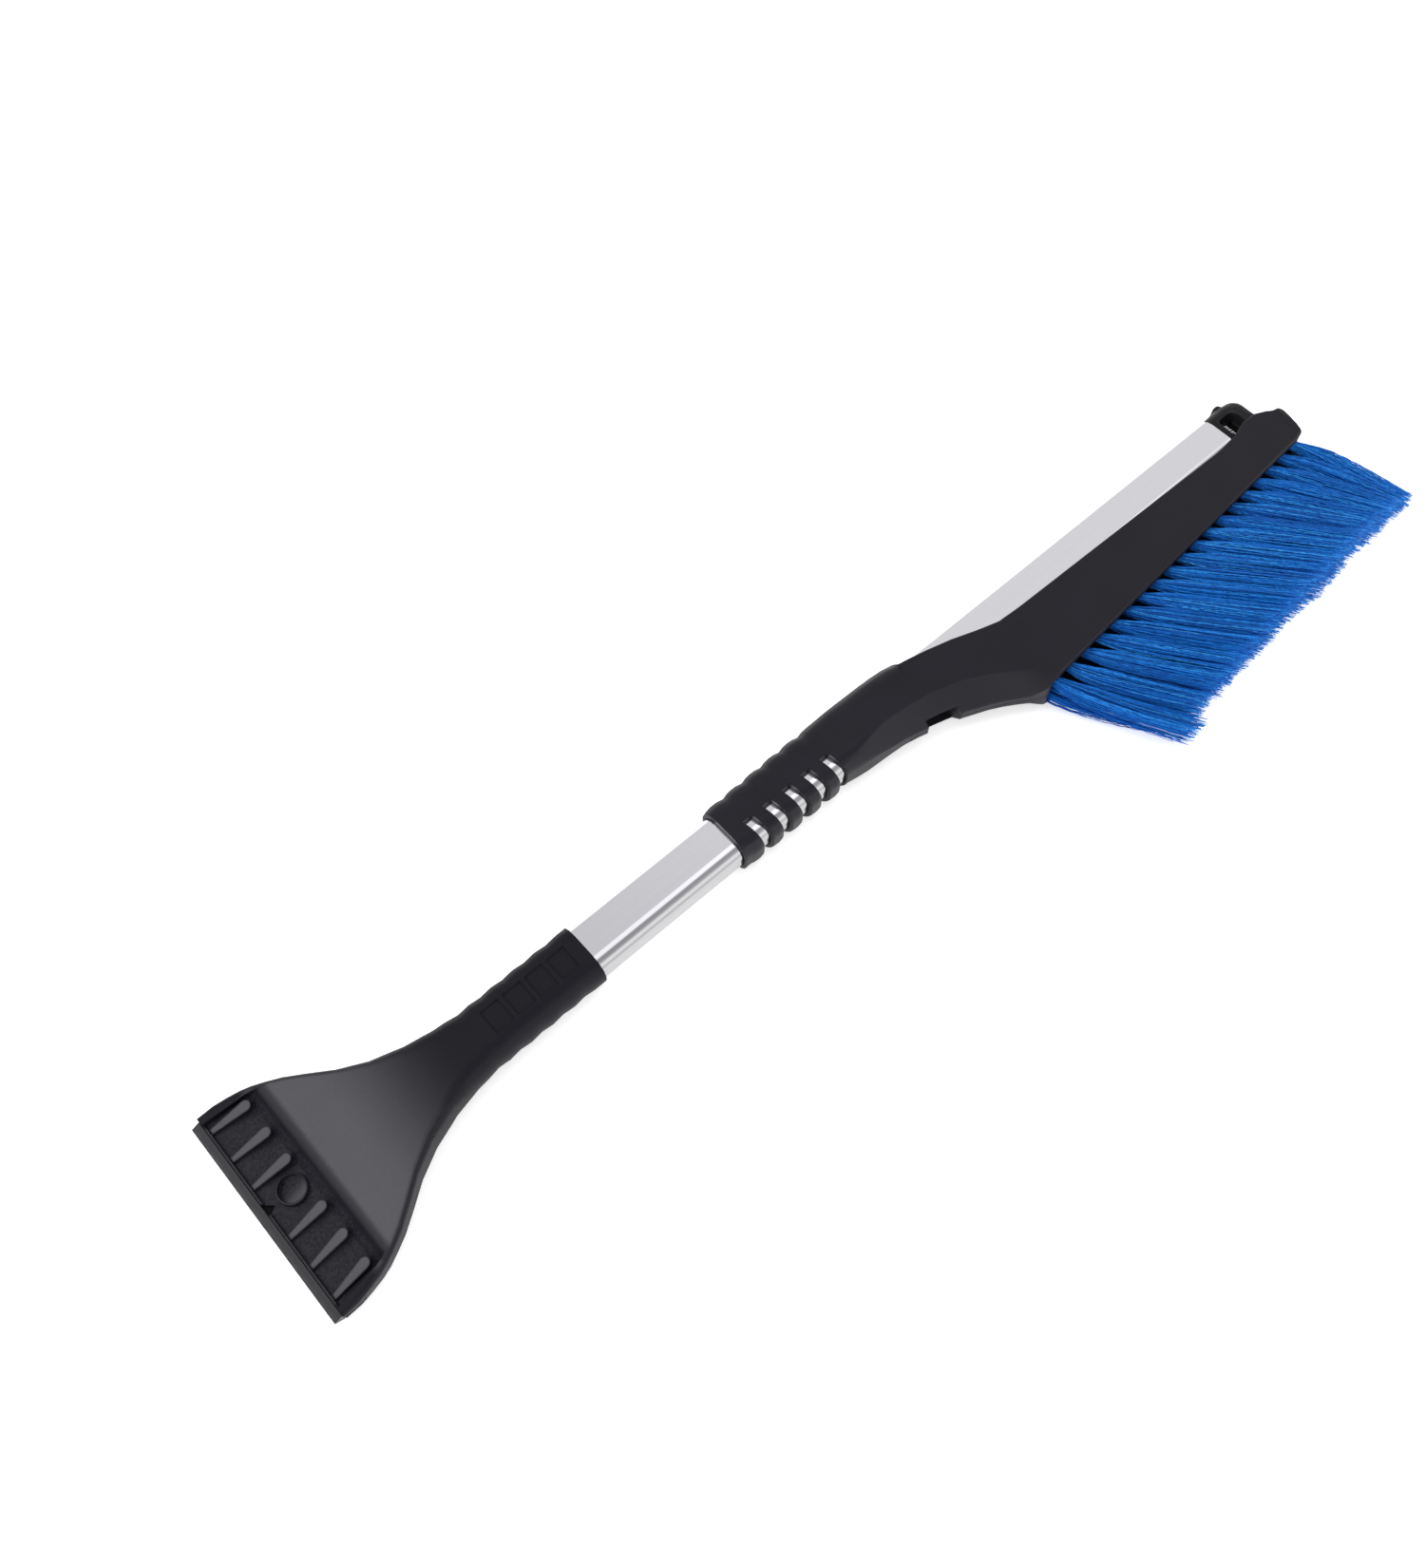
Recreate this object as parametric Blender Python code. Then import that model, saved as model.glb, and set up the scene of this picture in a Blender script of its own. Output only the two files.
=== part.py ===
"""A telescoping snow brush with an ice scraper.

A flat-oval tube carries a scraper head at one end and a sprung lock plug at the other.
A brush carrier slides along the tube. Its neck has a window that the lock button
shows through when the brush is fully out.

The design is written in millimetres: x runs from the blade's edge towards the brush,
y is 0 on the tube's axis, and z is 0 on the surface that the tool lies on.
The bristles point to -y. The last step moves all of it so that the origin is at the
bottom centre of the whole object's box.
"""

import math

import bmesh
import bpy
from mathutils import Vector

MM = 0.001
GAP = 0.3                    # between pieces that touch
RUNNING_GAP = 0.35           # between the tube and what slides on it
ARC_STEPS = 4                # facets on each rounded corner

# The tube.
TUBE_WIDTH = 25.0
TUBE_HEIGHT = 18.0
TUBE_CORNER = 7.0
TUBE_WALL = 1.3
TUBE_Z = 13.2
TUBE_START = 92.0
TUBE_END = 583.0

# The scraper head: a fan that narrows into a grip with a socket.
GRIP_END = 166.0
FACE_START = 28.5
FRONT_X = 4.3
FRONT_Z = 12.2
LIP_Z = 10.6
FACE_Z = 15.2
RECESS_Z = 8.9
BLADE_HALF = 50.0
RECESS = [(5.2, 47.0, RECESS_Z), (24.6, 44.9, 11.1), (27.4, 44.2, 13.3), (29.6, 43.5, 14.9),
          (32.0, 42.6, 15.9)]   # x, half width and floor
FAN_HALF_WIDTH = [(0, 50.6), (12, 50.3), (22, 48.6), (30, 45.8), (40, 40.4), (48, 34.9),
                  (58, 27.7), (70, 21.4), (84, 17), (97, 15), (110, 14.1), (170, 14)]
FAN_DRAFT = [(0, 0.9), (60, 0.7), (100, 0), (170, 0)]
FAN_TOP = [(FRONT_X, FRONT_Z), (FACE_START, FACE_Z), (60, 19.6), (68, 20.8), (76, 21.9), (84, 22.8),
           (92, 23.4), (100, 23.7), (170, 23.7)]
FAN_BOTTOM = [(0, 0), (72, 0), (100, 2.7), (170, 2.7)]
FAN_CORNER = [(0, 1.8), (28, 2.6), (60, 3.4), (80, 5.4), (100, 8.5), (170, 8.5)]
RIB_YS = [12.3, 26.5, 41]
RIB_SPREAD = 0.02
RIB_TIP_Z = 10.8
RIB_BACK_Z = 15.5
RIB_FRONT_X = 5.6
RIB_BACK_X = 24.6
BOSS_X = 17.2
BOSS_Y = 1.6
BOSS_RADIUS = 6.5
BOSS_TOP = 13.0
DISH_RADIUS = 5.8
DISH_DROP = 3.0              # how far the dish lies below the boss's top at its deep side
GRIP_WAVE_PITCH = 11.5
GRIP_WAVE_START = 103.0
GRIP_WAVES = 5
GRIP_WAVE_DEPTH = 0.6

# The blade strip.
BLADE_EDGE_Z = 7.3
BLADE_SLOT_DEPTH = 10.0
BLADE_SCREW_X = 10.0
BLADE_SCREW_Y = 33.0

# The brush carrier.
COLLAR_START = 245.5
COLLAR_NEAR_Y = -13.5
COLLAR_TOP = 25.4
COLLAR_CORNER = 9.6
RING_PITCH = 11.5
RING_BULGE = 1.5
RING_RIPPLE = 1.0
RING_SLANT = 2.2             # how far a slot leans towards +x between its top and the bristle side
SLOT_WIDTH = 5.4
SLOT_FIRST_X = 256.4
SLOTS = 5
SLOT_TOP_Y = -2.2
BEAM_TOP = 26.4
BEAM_END = 614.2
SLEEVE_EXIT = 361.0
COVER_START = 344.0
EDGE_NEAR = (415.0, -43.6)
EDGE_FAR = (606.0, -29.8)
SIDE_OUTLINE = [(306, COLLAR_NEAR_Y), (320, -15.4), (340, -17.4), (351, -19.9), (369, -24.9),
                (386, -32), (398, -39.4), (403, -42.4), (407, -44.2), (415, -43.6)]
END_OUTLINE = [(606, -29.8), (610, -28.6), (611.4, -24.8), (613, -19.3), (614.2, -15.6)]
FACET_OUTLINE = [(310, -8.6), (324, -7.6), (341, -8.1), (360, -10.5), (376, -15.4),
                 (390, -22.8), (402, -31.4), (408, -37.4), (413, -41.8)]
FACET_FOOT = [(310, 19.6), (325, 17.2), (345, 16), (399, 16), (407, 21), (413, 25.1)]
SLEEVE_OUTLINE = [(COLLAR_START, 15.4), (270, 16), (292, 16.5), (320, 16.4), (346, 15.9), (355, 15.1),
                  (SLEEVE_EXIT, 13.9)]
FLANK_OUTLINE = [(SLEEVE_EXIT, 9.6), (366, 8.6), (375, 6.6), (389, 2.8), (402, -1.8), (413, -5.1),
                 (426, -5.9), (441, -6.2), (569, -8.8), (583, -7.6), (592, -5), (601, -5.2),
                 (607, -8), (609.4, -10.2), (613, -10.7), (614.2, -12)]
END_LIP = [(607, 0), (609.6, 0.4), (612.2, 0.4), (614.2, -0.6)]
PLATE = 3.9                  # the beam's top and bottom walls

# The lock.
BUTTON_X = 591.5
BUTTON_WIDTH = 9.0
BUTTON_HEIGHT = 7.0
BUTTON_TIP_Y = -17.2
BUTTON_STEP_Y = -9.3
BUTTON_BACK_Y = -5.8
BUTTON_SIDE_GAP = 0.4
CHANNEL_Y = -17.6
STROKE = 231.0
WINDOW_START = 352.8
WINDOW_END = 369.4
WINDOW_LOW = 6.4
WINDOW_HIGH = 18.6
SPRING_RADIUS = 2.9
SPRING_WIRE = 0.35
SPRING_TURNS = 5
SPRING_SEAT_Y = 3.6
SPRING_VIEW_XS = (586.8, 598.2)
SPRING_VIEW_YS = (-6.3, 5.2)
NOSE_END = 607.0

# The bristles.
COLUMNS = 19
FIRST_TUFT_X = 412.2
LAST_TUFT_X = 603.4
ROW_RISE = 4.7               # the two rows lie this far above and below the tube's axis
BAR_RECESS = 1.6
BAR_DEPTH = 7.6
BAR_START = 408.6
BAR_END = 607.2
HOLE_RADIUS = 3.3
HOLE_DEPTH = 4.2
TUFT_RADIUS = 2.95
TUFT_LENGTH = 66.5
TUFT_SIDES = 8

SCREW_RADIUS = 1.5
SCREW_HEAD_RADIUS = 2.8
SHELL_SCREWS = [(399, -22.6), (434, -25.5), (482, -24.2), (530, -21.8)]

COLOURS = {
    "black_plastic": ((0.035, 0.034, 0.040), 0.45, 0.0),
    "blade_plastic": ((0.060, 0.060, 0.064), 0.35, 0.0),
    "aluminium": ((0.80, 0.80, 0.83), 0.25, 1.0),
    "steel": ((0.55, 0.55, 0.57), 0.30, 1.0),
    "bristle_blue": ((0.02, 0.13, 0.50), 0.50, 0.0),
}


# Numbers and outlines ---------------------------------------------------------------

def read_off(table, x):
    """The value at x on the straight runs through the table's points."""
    if x <= table[0][0]:
        return table[0][1]
    for (x0, v0), (x1, v1) in zip(table, table[1:]):
        if x <= x1:
            return v0 + (v1 - v0) * (x - x0) / (x1 - x0)
    return table[-1][1]


def rounded_loop(corners, steps=ARC_STEPS):
    """Points round a polygon of (y, z, radius) corners, each corner an arc."""
    points = []
    count = len(corners)
    for i in range(count):
        y, z, radius = corners[i]
        here = Vector((y, z))
        before = Vector(corners[i - 1][:2]) - here
        after = Vector(corners[(i + 1) % count][:2]) - here
        room = 0.49 * min(before.length, after.length)
        before.normalize()
        after.normalize()
        half = math.acos(max(-1.0, min(1.0, before.dot(after)))) / 2
        setback = min(radius / math.tan(half), room)
        radius = setback * math.tan(half)
        centre = here + (before + after).normalized() * radius / math.sin(half)
        start = here + before * setback - centre
        end = here + after * setback - centre
        turn = start.angle_signed(end)
        for k in range(steps + 1):
            angle = -turn * k / steps
            arm = Vector((start.x * math.cos(angle) - start.y * math.sin(angle),
                          start.x * math.sin(angle) + start.y * math.cos(angle)))
            points.append(tuple(centre + arm))
    return points


def flat_oval(width, height, corner, shift=0.0):
    """A rounded rectangle about the tube's axis, moved along y by the shift."""
    far = shift + width / 2
    near = shift - width / 2
    top = TUBE_Z + height / 2
    low = TUBE_Z - height / 2
    return rounded_loop([(far, low, corner), (far, top, corner), (near, top, corner), (near, low, corner)])


def tube_outline(offset):
    """The tube's outside, grown by offset."""
    return flat_oval(TUBE_WIDTH + 2 * offset, TUBE_HEIGHT + 2 * offset, TUBE_CORNER + offset)


def edge_y(x):
    """The bristle side's edge of the beam."""
    (x0, y0), (x1, y1) = EDGE_NEAR, EDGE_FAR
    return y0 + (y1 - y0) * (x - x0) / (x1 - x0)


# Meshes -----------------------------------------------------------------------------

def material(name):
    found = bpy.data.materials.get(name)
    if found:
        return found
    colour, roughness, metallic = COLOURS[name]
    made = bpy.data.materials.new(name)
    made.use_nodes = True
    shader = made.node_tree.nodes["Principled BSDF"]
    shader.inputs["Base Color"].default_value = (*colour, 1.0)
    shader.inputs["Roughness"].default_value = roughness
    shader.inputs["Metallic"].default_value = metallic
    return made


def mesh_object(name, points, faces, finish=None, smooth=False, origin=(0, 0, 0)):
    """An object from points in millimetres. Its origin is at the given design point."""
    mesh = bpy.data.meshes.new(name)
    centre = Vector(origin)
    mesh.from_pydata([(Vector(p) - centre) * MM for p in points], [], faces)
    work = bmesh.new()
    work.from_mesh(mesh)
    bmesh.ops.recalc_face_normals(work, faces=work.faces)
    work.to_mesh(mesh)
    work.free()
    if smooth:
        mesh.shade_smooth()
        mesh.set_sharp_from_angle(angle=math.radians(35))
    made = bpy.data.objects.new(name, mesh)
    made.location = centre * MM
    bpy.context.scene.collection.objects.link(made)
    if finish:
        mesh.materials.append(material(finish))
    return made


def loft(name, stations, **options):
    """A closed skin over loops of 3-D points that all have the same count."""
    points = [p for loop in stations for p in loop]
    count = len(stations[0])
    faces = [tuple(range(count))[::-1]]
    for row in range(len(stations) - 1):
        for k in range(count):
            a = row * count + k
            b = row * count + (k + 1) % count
            faces.append((a, b, b + count, a + count))
    faces.append(tuple(range(len(points) - count, len(points))))
    return mesh_object(name, points, faces, **options)


def along_x(name, stations, **options):
    """A loft of (x, loop of (y, z)) stations."""
    return loft(name, [[(x, y, z) for y, z in loop] for x, loop in stations], **options)


def box(name, low, high, **options):
    (x0, y0, z0), (x1, y1, z1) = low, high
    bottom = [(x0, y0, z0), (x1, y0, z0), (x1, y1, z0), (x0, y1, z0)]
    return loft(name, [bottom, [(x, y, z1) for x, y, _ in bottom]], **options)


def prism(name, plan, low, high, **options):
    """A plan outline of (x, y) points, raised from low to high."""
    return loft(name, [[(x, y, low) for x, y in plan], [(x, y, high) for x, y in plan]], **options)


def post(name, centre, profile, sides=16, **options):
    """A turned piece on a vertical axis. The profile is (radius, z), bottom to top."""
    x, y = centre
    turns = [2 * math.pi * k / sides for k in range(sides)]
    rings = [[(x + r * math.cos(t), y + r * math.sin(t), z) for t in turns] for r, z in profile]
    return loft(name, rings, origin=(x, y, profile[0][1]), **options)


def combine(target, other, operation):
    modifier = target.modifiers.new(other.name, "BOOLEAN")
    modifier.operation = operation
    modifier.solver = "EXACT"
    modifier.object = other
    other.hide_render = True
    other.display_type = "WIRE"


def cut(target, *cutters):
    for cutter in cutters:
        combine(target, cutter, "DIFFERENCE")


def add(target, *others):
    for other in others:
        combine(target, other, "UNION")


# Fasteners --------------------------------------------------------------------------

def screw(name, centre, low, length, head=1.6):
    """A pan-head screw driven upwards, with a cross-shaped recess left to the eye."""
    profile = [(SCREW_HEAD_RADIUS * 0.75, low), (SCREW_HEAD_RADIUS, low + 0.5),
               (SCREW_HEAD_RADIUS, low + head), (SCREW_RADIUS, low + head),
               (SCREW_RADIUS, low + length - 1.2), (0.4, low + length)]
    return post(name, centre, profile, sides=12, finish="steel", smooth=True)


def screw_clearance(name, centre, low, length, head=1.6):
    """The space a screw needs, open at the bottom."""
    head_space = SCREW_HEAD_RADIUS + GAP
    shank_space = SCREW_RADIUS + GAP
    profile = [(head_space, low - 5), (head_space, low + head + GAP),
               (shank_space, low + head + GAP), (shank_space, low + length + GAP)]
    return post(name, centre, profile, sides=12)


# The handle -------------------------------------------------------------------------

HEAD_SCREW_XS = [104.0, 150.0]
HEAD_SCREW_LOW = 1.2
HEAD_SCREW_LENGTH = 8.0
PLUG_SCREW_X = 571.0
PLUG_SCREW_LOW = 4.35
PLUG_SCREW_LENGTH = 8.0


def handle_tube():
    outer = tube_outline(0)
    inner = tube_outline(-TUBE_WALL)
    tube = along_x("handle_tube", [(TUBE_START, outer), (TUBE_END, outer)],
                   finish="aluminium", smooth=True)
    bore = along_x("tube_bore", [(TUBE_START - 5, inner), (TUBE_END + 5, inner)])
    cut(tube, bore)
    for i, x in enumerate(HEAD_SCREW_XS):
        cut(tube, screw_clearance(f"tube_hole_{i}", (x, 0), HEAD_SCREW_LOW, HEAD_SCREW_LENGTH))
    cut(tube, screw_clearance("tube_hole_plug", (PLUG_SCREW_X, 0), PLUG_SCREW_LOW,
                              PLUG_SCREW_LENGTH, head=1.6))
    return tube


def fan_section(x):
    """The head's outside at x, as a rounded block."""
    half = read_off(FAN_HALF_WIDTH, x)
    top = read_off(FAN_TOP, x)
    low = read_off(FAN_BOTTOM, x)
    corner = read_off(FAN_CORNER, x)
    draft = read_off(FAN_DRAFT, x)
    wave = (x - GRIP_WAVE_START) / GRIP_WAVE_PITCH
    if 0 < wave < GRIP_WAVES:
        half -= GRIP_WAVE_DEPTH * math.sin(math.pi * wave) ** 2
    return rounded_loop([(half - draft, low, corner), (half + draft, top, corner),
                         (-half - draft, top, corner), (draft - half, low, corner)], 3)


def head_rib(index, y):
    """One tapered ice rib, wide and round at the back and narrow at the front."""
    back = 2.5
    front = 1.3
    tip = y * (1 + RIB_SPREAD * 2)
    plan = [(RIB_FRONT_X, tip - front)]
    plan += [(RIB_BACK_X - back + back * math.cos(t), y + back * math.sin(t))
             for t in (math.radians(a) for a in (-90, -54, -18, 18, 54, 90))]
    plan += [(RIB_FRONT_X, tip + front)]
    slope = (RIB_BACK_Z - RIB_TIP_Z) / (RIB_BACK_X - RIB_FRONT_X)
    low = [(x, v, RECESS_Z - 3) for x, v in plan]
    high = [(x, v, RIB_TIP_Z + slope * (x - RIB_FRONT_X)) for x, v in plan]
    return loft(f"rib_{index}", [low, high])


def boss_dish():
    """A round hollow in the boss. Its floor rises to the boss's top on the side away from the ribs' backs."""
    rise = Vector((0.75, -0.66))
    low = []
    for k in range(24):
        angle = 2 * math.pi * k / 24
        arm = Vector((math.cos(angle), math.sin(angle)))
        height = BOSS_TOP - DISH_DROP * (1 - arm.dot(rise)) / 2
        low.append((BOSS_X + DISH_RADIUS * arm.x, BOSS_Y + DISH_RADIUS * arm.y, height))
    return loft("boss_dish", [low, [(x, y, 20) for x, y, _ in low]])


def scraper_head():
    waves = [GRIP_WAVE_START + GRIP_WAVE_PITCH * k / 4 for k in range(4 * GRIP_WAVES + 1)]
    xs = [FRONT_X, 12, 18, 24, FACE_START, 34, 40, 44, 48, 53, 58, 64, 70, 76, 80, 84, 88, 92, 97]
    xs += waves + [GRIP_END]
    head = along_x("scraper_head", [(x, fan_section(x)) for x in xs],
                   finish="black_plastic", smooth=True)
    socket = tube_outline(GAP)
    cut(head, along_x("socket", [(TUBE_START - GAP, socket), (GRIP_END + 5, socket)]))

    cut(head, loft("rib_recess", [
        [(x, -half, z), (x, half, z), (x, half, 40), (x, -half, 40)] for x, half, z in RECESS]))
    wide = RECESS[0][1]
    cut(head, box("lip_level", (FRONT_X - 5, -wide, LIP_Z), (RIB_FRONT_X + 0.4, wide, 40)))
    ribs = [side * y for y in RIB_YS for side in (-1, 1)]
    add(head, *[head_rib(i, y) for i, y in enumerate(ribs)])
    add(head, post("boss", (BOSS_X, BOSS_Y), [(BOSS_RADIUS, RECESS_Z - 3), (BOSS_RADIUS, BOSS_TOP - 0.5),
                                              (BOSS_RADIUS - 0.6, BOSS_TOP)], sides=24))
    cut(head, boss_dish())

    slot_low, slot_high = blade_tongue()
    cut(head, box("blade_slot", (FRONT_X - 5, -60, slot_low - GAP),
                  (FRONT_X + BLADE_SLOT_DEPTH + GAP, 60, slot_high + GAP)))
    for i, y in enumerate((-BLADE_SCREW_Y, BLADE_SCREW_Y)):
        cut(head, screw_clearance(f"blade_screw_space_{i}", (BLADE_SCREW_X, y), 0.4, 7.4))
    for i, x in enumerate(HEAD_SCREW_XS):
        cut(head, screw_clearance(f"head_screw_space_{i}", (x, 0), HEAD_SCREW_LOW, 4.0))
    for i, (y0, y1) in enumerate(((-27, -11), (-8, 8), (11, 27))):
        reach = 80 if i == 1 else 46
        cut(head, box(f"core_out_{i}", (24, y0, -5), (reach, y1, 9.0)))
    cut(head, prism("snap_window", [(4.2, -0.6), (8.4, 1.8), (4.2, 5.6)], slot_high, 30))
    for i in range(GRIP_WAVES - 1):
        x = GRIP_WAVE_START + GRIP_WAVE_PITCH * (i + 1)
        cut(head, box(f"grip_pocket_{i}", (x + 1.2, -5.6, 23.0), (x + GRIP_WAVE_PITCH - 1.2, 5.6, 30)))
    return head


def blade_tongue():
    """The lowest and highest z of the blade's tongue."""
    return 4.6, 7.4


def scraper_blade():
    low, high = blade_tongue()
    inner = FRONT_X - GAP
    deep = FRONT_X + BLADE_SLOT_DEPTH
    profile = [(0, BLADE_EDGE_Z - 0.9), (inner, low - 1.2), (inner, low), (deep, low),
               (deep, high), (inner, high), (inner, high + 2.0), (0, BLADE_EDGE_Z)]
    ends = [[(x, y, z) for x, z in profile] for y in (-BLADE_HALF, BLADE_HALF)]
    blade = loft("scraper_blade", ends, finish="blade_plastic")
    for i, y in enumerate((-BLADE_SCREW_Y, BLADE_SCREW_Y)):
        cut(blade, screw_clearance(f"blade_hole_{i}", (BLADE_SCREW_X, y), -2, 14.0, head=2.0))
    return blade


def spring_view():
    """The round-cornered opening over the spring, in plan."""
    x0, x1 = SPRING_VIEW_XS
    y0, y1 = SPRING_VIEW_YS
    return rounded_loop([(x0, y0, 2), (x1, y0, 4.5), (x1, y1, 4.5), (x0, y1, 2)])


def end_plug():
    inside = flat_oval(TUBE_WIDTH - 2 * TUBE_WALL - 2 * GAP, TUBE_HEIGHT - 2 * TUBE_WALL - 2 * GAP, 5.2)
    flare = TUBE_END + GAP
    shapes = [(flare + 0.4, 23.6, 16.8, 6.4, 0), (590, 24.4, 17.6, 6.8, 0), (593.5, 24.6, 18.0, 7.0, 0),
              (594.5, 24.7, 18.0, 7.0, 0.1), (598.5, 24.7, 18.0, 7.0, 0.1), (600, 24.0, 17.4, 6.8, 0.1),
              (603.2, 23.4, 17.0, 6.8, 0.1), (605.8, 20.6, 14.8, 6.0, 0.1), (NOSE_END, 15.0, 10.6, 4.6, 0)]
    stations = [(TUBE_END - 26, inside), (flare, inside)]
    stations += [(x, flat_oval(w, h, r, shift)) for x, w, h, r, shift in shapes]
    plug = along_x("end_plug", stations, finish="black_plastic", smooth=True)
    lug = along_x("stop_lug", [(x, flat_oval(w, h, 2.4, 8.0))
                               for x, w, h in ((596, 11, 9), (596.8, 12.6, 10), (598.8, 12.6, 10),
                                               (599.8, 11, 9))])
    add(plug, lug)
    half_x = BUTTON_WIDTH / 2 + BUTTON_SIDE_GAP
    half_z = BUTTON_HEIGHT / 2 + BUTTON_SIDE_GAP
    cut(plug,
        box("button_mouth", (BUTTON_X - half_x, -20, TUBE_Z - half_z),
            (BUTTON_X + half_x, BUTTON_STEP_Y + 2, TUBE_Z + half_z)),
        box("button_room", (BUTTON_X - half_x - 1.2, BUTTON_STEP_Y - GAP, TUBE_Z - half_z),
            (BUTTON_X + half_x + 1.2, SPRING_SEAT_Y, TUBE_Z + half_z)),
        prism("spring_view", spring_view(), TUBE_Z + BUTTON_HEIGHT / 2 - 1, 30),
        screw_clearance("plug_screw_space", (PLUG_SCREW_X, 0), PLUG_SCREW_LOW, PLUG_SCREW_LENGTH))
    return plug


def lock_button():
    """The plunger. Its origin is on its line of travel, at its tip."""
    low = TUBE_Z - BUTTON_HEIGHT / 2
    high = TUBE_Z + BUTTON_HEIGHT / 2
    half = BUTTON_WIDTH / 2
    step = half + 0.9
    plan = [(-half + 1.2, BUTTON_TIP_Y), (half - 1.2, BUTTON_TIP_Y), (half, BUTTON_TIP_Y + 1.2),
            (half, BUTTON_STEP_Y), (step, BUTTON_STEP_Y), (step, BUTTON_BACK_Y),
            (-step, BUTTON_BACK_Y), (-step, BUTTON_STEP_Y), (-half, BUTTON_STEP_Y),
            (-half, BUTTON_TIP_Y + 1.2)]
    return prism("lock_button", [(BUTTON_X + x, y) for x, y in plan], low, high,
                 finish="black_plastic", origin=(BUTTON_X, BUTTON_TIP_Y, TUBE_Z))


def lock_spring():
    """A coil along y between the button's back and the plug's seat."""
    start = BUTTON_BACK_Y + GAP + SPRING_WIRE
    end = SPRING_SEAT_Y - GAP - SPRING_WIRE
    steps = SPRING_TURNS * 10
    wire_sides = 6
    rings = []
    for k in range(steps + 1):
        turn = 2 * math.pi * SPRING_TURNS * k / steps
        outward = Vector((math.cos(turn), 0, math.sin(turn)))
        along = Vector((0, 1, 0))
        centre = Vector((BUTTON_X, start + (end - start) * k / steps, TUBE_Z)) + outward * SPRING_RADIUS
        angles = [2 * math.pi * j / wire_sides for j in range(wire_sides)]
        rings.append([tuple(centre + (outward * math.cos(a) + along * math.sin(a)) * SPRING_WIRE)
                      for a in angles])
    return loft("lock_spring", rings, finish="steel", smooth=True,
                origin=(BUTTON_X, BUTTON_BACK_Y, TUBE_Z))


# The brush carrier ------------------------------------------------------------------

def ring_phase(x):
    """0 in the middle of a slot and 1 in the middle of a ring between two slots."""
    return abs(math.sin(math.pi * (x - SLOT_FIRST_X) / RING_PITCH)) ** 0.7


def carrier_section(x):
    """The carrier's outside at x: a rounded block in the collar, a faceted one beyond."""
    collar_end = SLOT_FIRST_X + RING_PITCH * (SLOTS - 0.5)
    neck = min(1.0, max(0.0, (x - collar_end) / 14))
    sharp = min(1.0, max(0.0, (x - collar_end) / 24))
    top = COLLAR_TOP * (1 - neck) + BEAM_TOP * neck
    facet_cut = COLLAR_CORNER * (2 - math.sqrt(2))
    far = read_off(SLEEVE_OUTLINE, x)
    near = read_off(SIDE_OUTLINE, x)
    if x < collar_end:
        near -= RING_BULGE * ring_phase(x - RING_SLANT)
        far -= RING_RIPPLE * (1 - ring_phase(x))
    facet = (near + facet_cut) * (1 - sharp) + read_off(FACET_OUTLINE, x) * sharp
    foot = (top - facet_cut) * (1 - sharp) + read_off(FACET_FOOT, x) * sharp
    facet_radius = COLLAR_CORNER * (1 - sharp) + 1.0 * sharp
    far_radius = COLLAR_CORNER
    if x > SLEEVE_EXIT:
        far = read_off(FLANK_OUTLINE, x)
        far_radius = 1.0
    if x > EDGE_NEAR[0]:
        near = edge_y(x) if x < EDGE_FAR[0] else read_off(END_OUTLINE, x)
        facet = near + 1.2
        foot = BEAM_TOP - 1.2
        facet_radius = 0.8
    low = 2 * TUBE_Z - top
    top += read_off(END_LIP, x)
    return rounded_loop([(far, low, far_radius), (far, top, far_radius), (facet, top, facet_radius),
                         (near, foot, facet_radius), (near, 2 * TUBE_Z - foot, facet_radius),
                         (facet, low, facet_radius)], 3)


def carrier_xs():
    """Where the carrier's outline is read: five places on each ring, then along the neck and the beam."""
    first = SLOT_FIRST_X - RING_PITCH / 2
    rings = [COLLAR_START, 248.5] + [first + RING_PITCH * k / 4 for k in range(4 * SLOTS + 1)]
    neck = [314, 320, 327, 334, 341, 348, 355, SLEEVE_EXIT, SLEEVE_EXIT + 0.3, 366, 371, 376, 383, 389,
            395, 400, 404, 407, 410, 413, 415, 416, 420, 426]
    beam = [441, 505, 569, 577, 583, 588, 592, 597, 601, 604, 607, 608.5, 610, 611.4, 613, BEAM_END]
    return rings + neck + beam


def carrier_solid(name, **options):
    return along_x(name, [(x, carrier_section(x)) for x in carrier_xs()], **options)


def bar_plan(front, back, start, end):
    """A strip along the bristle edge, from front to back behind the edge."""
    return [(start, edge_y(start) + front), (end, edge_y(end) + front),
            (end, edge_y(end) + back), (start, edge_y(start) + back)]


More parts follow.
